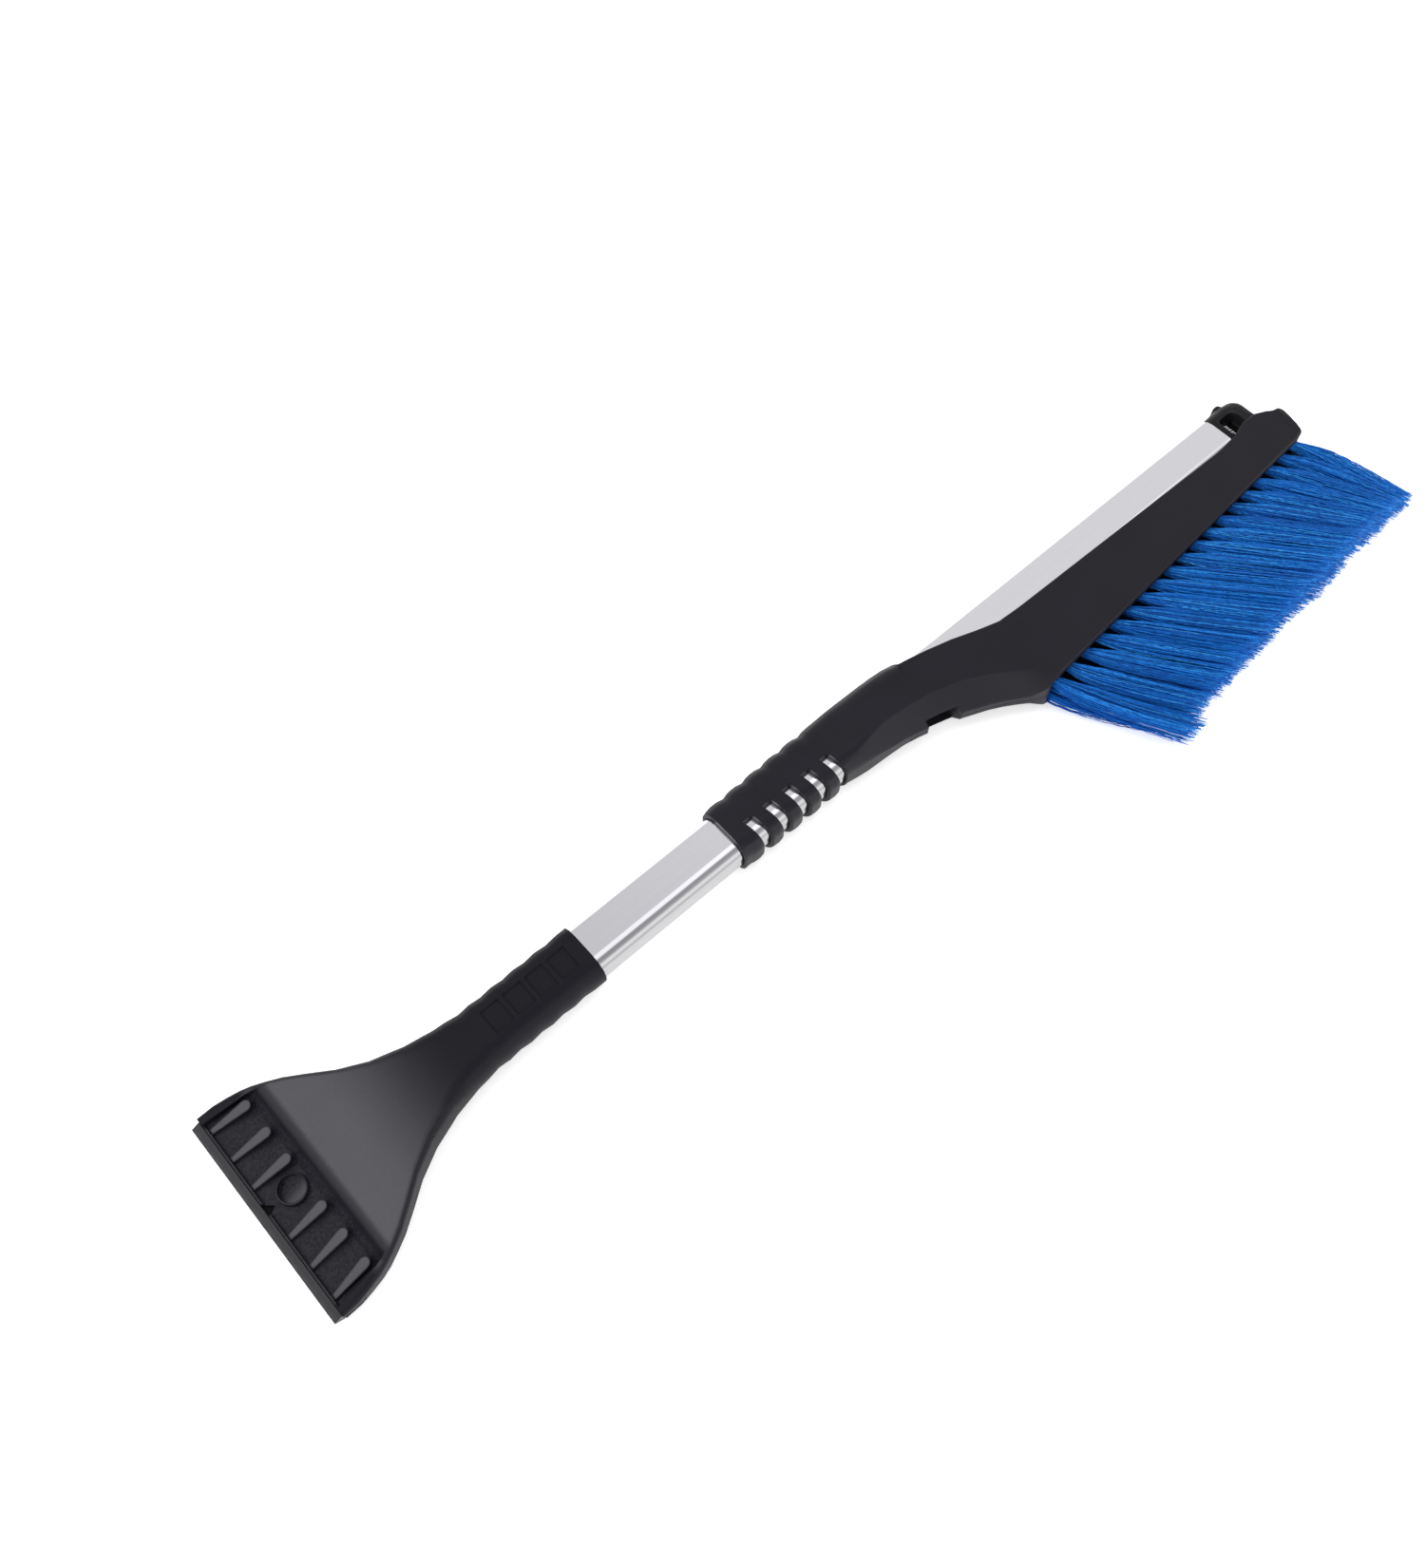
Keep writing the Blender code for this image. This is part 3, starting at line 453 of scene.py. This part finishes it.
by_angle = smoothing()
for name, obj in nodes.items():
    obj.data.materials.clear()
    obj.data.materials.append(FINISHES.get(name, FASTENER_STEEL))
    smooth(obj, by_angle)


def build(name, points, faces, material, shaded_smooth=True):
    """A new piece from points in the row frame, in metres."""
    mesh = bpy.data.meshes.new(name)
    mesh.from_pydata(points, [], faces)
    mesh.update()
    obj = bpy.data.objects.new(name, mesh)
    bpy.context.scene.collection.objects.link(obj)
    mesh.materials.append(material)
    if shaded_smooth:
        mesh.shade_smooth()
    return obj


# Bristles ----------------------------------------------------------------------------
# Lengths are in millimetres. A travel is a share of the way from a bundle's root to its tip.

ROWS = "ab"                  # the upper and the lower row
COLUMNS = 19
STRANDS = 135                # in each bundle
STRAND_STEPS = 18
STRAND_SIDES = 3
STRAND_RADIUS = 0.24
STRAND_TAPER = 0.8           # the tip's radius as a share of the root's

# Shares of a bundle's length.
STRAND_LENGTH = (0.935, 1.03)
BUNDLE_TRIM = (-0.025, 0.012)
EXTRA_AT_ENDS = 0.03         # the two end bundles are this much longer
ROUNDED_TIP = 0.03           # a bundle's outer strands are this much shorter

ROOT_SPREAD = (2.1, 2.9)     # half a bundle's width where it leaves the bar, upper and lower row
OPENING = (0.32, 0.11)       # the travel in which a bundle opens to meet its neighbours
OPENING_WIDTH = 3.4
OPENING_HEIGHT = 1.0
FAN_WIDTH = 1.5
FAN_HEIGHT = 0.8
NEAR_END_FAN = (4.2, 0.9)    # the first bundle fans far towards the brush, and little outwards
STRAY_SHARE = 0.07
STRAY_FAN = 1.45

SWING = math.radians(5.0)    # the bundles near the neck lean outwards by up to this
FAR_END_DROP = 4.5
BOW = 1.05                   # 1 is straight, and less bends a bundle towards its tip
NECK_END_BOW = 0.30          # added at the brush's two ends
FAR_END_BOW = -0.42
CRIMP_TURNS = (50, 75)       # radians over one strand
CRIMP_SIZE = 0.17
DRIFT_TURN = 5
DRIFT_ACROSS = 0.6
DRIFT_UP = 0.5
FREE_FROM = 0.1              # the travel by which a strand is free to waver
FLOOR_GAP = 0.35

FRINGE_START = -0.87         # strands further out than this share of the first bundle are pale: painted highlight
FRINGE_FADE = (0.35, 0.85)   # over this travel
FRINGE = 0.75


def ease(value):
    """0 to 1 with soft ends."""
    value = np.clip(value, 0, 1)
    return value * value * (3 - 2 * value)


def ring_angles(sides):
    return 2 * math.pi * np.arange(sides) / sides


def strand_rings(spine, thickness):
    """Rings of points round a spine that runs mostly along -y."""
    along = np.gradient(spine, axis=0)
    along /= np.linalg.norm(along, axis=1)[:, None]
    side = np.cross(along, (0.0, 0.0, 1.0))
    side /= np.linalg.norm(side, axis=1)[:, None]
    up = np.cross(side, along)
    angles = ring_angles(STRAND_SIDES) + 0.5
    size = np.linspace(1.0, STRAND_TAPER, len(spine))[:, None, None] * thickness
    return spine[:, None, :] + size * (np.cos(angles)[None, :, None] * side[:, None, :]
                                       + np.sin(angles)[None, :, None] * up[:, None, :])


def tuft_tag(row, column):
    return f"{ROWS[row]}_{column + 1:02d}"


def tuft_ends(row, column):
    """The middles of a CAD tuft's two ends."""
    co = np.array([v.co for v in nodes[f"tuft_{tuft_tag(row, column)}"].data.vertices])
    root_end = co[co[:, 1] > co[:, 1].max() - 0.5 * MM]
    tip_end = co[co[:, 1] < co[:, 1].min() + 0.5 * MM]
    return (root_end.max(0) + root_end.min(0)) / 2, (tip_end.max(0) + tip_end.min(0)) / 2


def tuft_spine(row, column):
    """A bundle's root, tip and bow."""
    root, tip = tuft_ends(row, column)
    across = 2 * column / (COLUMNS - 1) - 1
    inner = max(0.0, -across)
    outer = max(0.0, across)
    swing = SWING * (1 - inner ** 8) * inner ** 0.7
    reach = tip - root
    turned = np.array((reach[0] * math.cos(swing) - reach[1] * math.sin(swing),
                       reach[0] * math.sin(swing) + reach[1] * math.cos(swing),
                       reach[2] - FAR_END_DROP * MM * outer ** 6 * (1 - row)))
    bow = BOW + NECK_END_BOW * inner ** 6 + FAR_END_BOW * outer ** 3
    return root, root + turned, bow


def row_gap(column):
    """Half the height between the tips of a column's two bundles."""
    upper, lower = (tuft_ends(row, column)[1][2] for row in range(len(ROWS)))
    return (upper - lower) / 2


def strand(chance, row, column, bundle):
    """One filament's spine, its travel, and its place across the bundle from -1 to 1."""
    root, tip, bow, trim, gap = bundle
    angle = chance.uniform(0, 2 * math.pi)
    reach = math.sqrt(chance.random())
    ox = reach * math.cos(angle)
    oz = reach * math.sin(angle)
    stray = 1.0 if chance.random() > STRAY_SHARE else STRAY_FAN
    length = chance.uniform(*STRAND_LENGTH) + trim - ROUNDED_TIP * ox * ox
    if column in (0, COLUMNS - 1):
        length += EXTRA_AT_ENDS
    travel = np.linspace(0, 1, STRAND_STEPS + 1) * length
    spine = root[None, :] + (tip - root)[None, :] * travel[:, None]
    spine[:, 0] += (travel ** bow - travel) * (tip[0] - root[0])

    opening = ease(travel / OPENING[row])
    fan = FAN_WIDTH * stray
    if column == 0:
        fan = NEAR_END_FAN[0 if ox > 0 else 1]
    spine[:, 0] += ox * MM * (ROOT_SPREAD[row] + OPENING_WIDTH * opening + fan * travel)
    spine[:, 2] += oz * MM * (ROOT_SPREAD[row] + OPENING_HEIGHT * opening + FAN_HEIGHT * travel)
    # The strands that face the other row bend towards it, so that no open mouth is left.
    inward = max(0.0, oz if row else -oz) ** 0.7
    spine[:, 2] += (1 if row else -1) * gap * inward * travel ** 1.5

    wave = travel * chance.uniform(*CRIMP_TURNS) + chance.uniform(0, 2 * math.pi)
    drift = travel * DRIFT_TURN + chance.uniform(0, 2 * math.pi)
    loose = MM * ease(travel / FREE_FROM)
    drift_across = chance.uniform(-DRIFT_ACROSS, DRIFT_ACROSS)
    drift_up = chance.uniform(-DRIFT_UP, DRIFT_UP)
    spine[:, 0] += loose * (drift_across * np.sin(drift) + CRIMP_SIZE * np.sin(wave))
    spine[:, 2] += loose * (drift_up * np.cos(drift) + CRIMP_SIZE * np.cos(wave))
    spine[:, 2] = np.maximum(spine[:, 2], FLOOR_GAP * MM)
    return spine, travel, ox


def tube_faces(base, steps, sides):
    """The side faces of a tube of rings whose first point is number base."""
    faces = []
    for ring in range(base, base + steps * sides, sides):
        for j in range(sides):
            a = ring + j
            b = ring + (j + 1) % sides
            faces.append((a, b, b + sides, a + sides))
    return faces


def tuft_piece(row, column, seed):
    """A bundle of crimped filaments: round at its hole, then slowly fanning out."""
    chance = random.Random(seed)
    bundle = (*tuft_spine(row, column), chance.uniform(*BUNDLE_TRIM), row_gap(column))
    fade_start, fade_end = FRINGE_FADE
    points = []
    faces = []
    pale = []
    for _ in range(STRANDS):
        spine, travel, ox = strand(chance, row, column, bundle)
        base = len(points)
        points.extend(strand_rings(spine, STRAND_RADIUS * MM).reshape(-1, 3).tolist())
        # A painted highlight makes the first bundle's outer strands pale.
        fringe = FRINGE if column == 0 and ox < FRINGE_START else 0.0
        fringe = fringe * ease((travel - fade_start) / (fade_end - fade_start))
        pale.extend(np.repeat(fringe, STRAND_SIDES).tolist())
        faces.extend(tube_faces(base, STRAND_STEPS, STRAND_SIDES))
        faces.append(tuple(range(len(points) - STRAND_SIDES, len(points))))
    tag = tuft_tag(row, column)
    piece = build(f"bristles_{tag}", points, faces, FILAMENT)
    piece.data.attributes.new("pale", "FLOAT", "POINT").data.foreach_set("value", pale)
    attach(piece, "brush")
    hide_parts(f"tuft_{tag}")


for row in range(len(ROWS)):
    for column in range(COLUMNS):
        tuft_piece(row, column, 100 * row + column)


# The lock's spring -------------------------------------------------------------------

SPRING_RADIUS = 2.9
SPRING_WIRE = 0.50
SPRING_TURNS = 5.5
SPRING_END_GAP = 0.4         # from the CAD spring's ends to the middle of the wire
COIL_STEPS = 20              # in a turn
COIL_SIDES = 8
CLOSED_ENDS = 0.45           # 0 for an even pitch, towards 1 for closed end turns


def coil(name, start, end, radius, wire, turns, material):
    """A round-wire coil along y, whose end turns lie closer together."""
    steps = int(turns * COIL_STEPS)
    points = []
    for k in range(steps + 1):
        share = k / steps
        pitch = share * share * (3 - 2 * share) * CLOSED_ENDS + share * (1 - CLOSED_ENDS)
        turn = 2 * math.pi * turns * share
        out = Vector((math.cos(turn), 0, math.sin(turn)))
        middle = start.lerp(end, pitch) + out * radius
        for a in ring_angles(COIL_SIDES):
            points.append(tuple(middle + (out * math.cos(a) + Vector((0, math.sin(a), 0))) * wire))
    faces = tube_faces(0, steps, COIL_SIDES)
    faces.append(tuple(range(COIL_SIDES))[::-1])
    faces.append(tuple(range(steps * COIL_SIDES, (steps + 1) * COIL_SIDES)))
    return build(name, points, faces, material)


spring_low, spring_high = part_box("lock_spring")
spring_x = (spring_low.x + spring_high.x) / 2
spring_z = (spring_low.z + spring_high.z) / 2
spring = coil("spring_coil", Vector((spring_x, spring_low.y + SPRING_END_GAP * MM, spring_z)),
              Vector((spring_x, spring_high.y - SPRING_END_GAP * MM, spring_z)),
              SPRING_RADIUS * MM, SPRING_WIRE * MM, SPRING_TURNS, SPRING_STEEL)
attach(spring, "handle")
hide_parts("lock_spring")
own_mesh(spring)


# Stage -------------------------------------------------------------------------------

FLOOR_HALF = 6.0             # metres
FLOOR_GLOW = 0.50            # keeps the floor near white, as a lit backdrop is


def stage_floor():
    s = Shader("studio_floor")
    s.set("Base Color", s.mix(s.noise(0.004, 2), (0.95, 0.935, 0.93), (0.96, 0.945, 0.94)))
    s.set("Roughness", 0.9)
    s.set("Specular IOR Level", 0.1)
    s.set("Emission Color", WHITE)
    s.set("Emission Strength", FLOOR_GLOW)
    corners = [(x * FLOOR_HALF, y * FLOOR_HALF, 0) for x, y in ((-1, -1), (1, -1), (1, 1), (-1, 1))]
    floor = build("studio_floor", corners, [(0, 1, 2, 3)], s.material, shaded_smooth=False)


# Long bands of light and dark along x. An angle is 0 overhead and 90 on the bristle side.
DOME_LIGHT = 0.80
LIGHT_BANDS = [(-11, 19, 0.50), (25, 52, -0.41), (61, 102, 1.6)]     # from, to, and light added
BAND_SOFTNESS = 3
BAND_ENDS = (0.92, 0.62)     # the bands fade towards the dome's two ends in x
SOFT_BOX_TOWARD = (-0.36, 0.34, 0.87)
SOFT_BOX_ANGLES = (19, 13)   # from its middle: where its light starts, and where it is full
SOFT_BOX_LIGHT = 3.2


def studio_light():
    """A soft dome with bands along the tool and one soft box over the blade's end."""
    world = bpy.data.worlds.new("studio")
    bpy.context.scene.world = world
    world.use_nodes = True
    t = Tree(world.node_tree)
    background = t.tree.nodes["Background"]
    direction = t.node("ShaderNodeTexCoord").outputs["Generated"]
    x, y, z = t.split(direction)
    angle = t.product(t.math("ARCTAN2", t.product(y, -1.0), z), 180 / math.pi)

    bands = 0.0
    for start, end, light in LIGHT_BANDS:
        rise = t.ramp(angle, start - BAND_SOFTNESS, start + BAND_SOFTNESS, smooth=True)
        fall = t.ramp(angle, end + BAND_SOFTNESS, end - BAND_SOFTNESS, smooth=True)
        bands = t.math("ADD", bands, t.product(rise, fall, light))
    bands = t.product(bands, t.ramp(t.math("ABSOLUTE", x), *BAND_ENDS, smooth=True))

    toward = t.node("ShaderNodeVectorMath", operation="DOT_PRODUCT")
    toward.inputs[1].default_value = Vector(SOFT_BOX_TOWARD).normalized()
    t.put(direction, toward.inputs[0])
    low, high = (math.cos(math.radians(a)) for a in SOFT_BOX_ANGLES)
    soft_box = t.product(t.ramp(toward.outputs["Value"], low, high, smooth=True), SOFT_BOX_LIGHT)
    strength = t.math("ADD", t.math("ADD", DOME_LIGHT, bands), soft_box)
    t.put(strength, background.inputs["Strength"])
    t.put((1.0, 0.995, 1.0), background.inputs["Color"])


# The camera was fitted to the photo's edges.
CAMERA_PLACE = (53.7, -206.4, 607.7)
CAMERA_RIGHT = (0.7453, -0.6667, 0.0)
CAMERA_UP = (0.5910, 0.6607, 0.4628)
SENSOR_HEIGHT = 36.0
LENS = 34.25


def photo_camera():
    right = Vector(CAMERA_RIGHT).normalized()
    up = Vector(CAMERA_UP).normalized()
    back = right.cross(up).normalized()
    data = bpy.data.cameras.new("camera")
    data.sensor_fit = "VERTICAL"
    data.sensor_height = SENSOR_HEIGHT
    data.lens = LENS
    data.clip_start = 0.01
    data.clip_end = 50.0
    camera = bpy.data.objects.new("camera", data)
    bpy.context.scene.collection.objects.link(camera)
    turn = Matrix((right, up, back)).transposed().to_4x4()
    camera.matrix_world = Matrix.Translation(place(*CAMERA_PLACE)) @ turn
    bpy.context.scene.camera = camera


stage_floor()
studio_light()
photo_camera()
bpy.context.scene.view_settings.view_transform = "Standard"
bpy.context.scene.view_settings.look = "None"
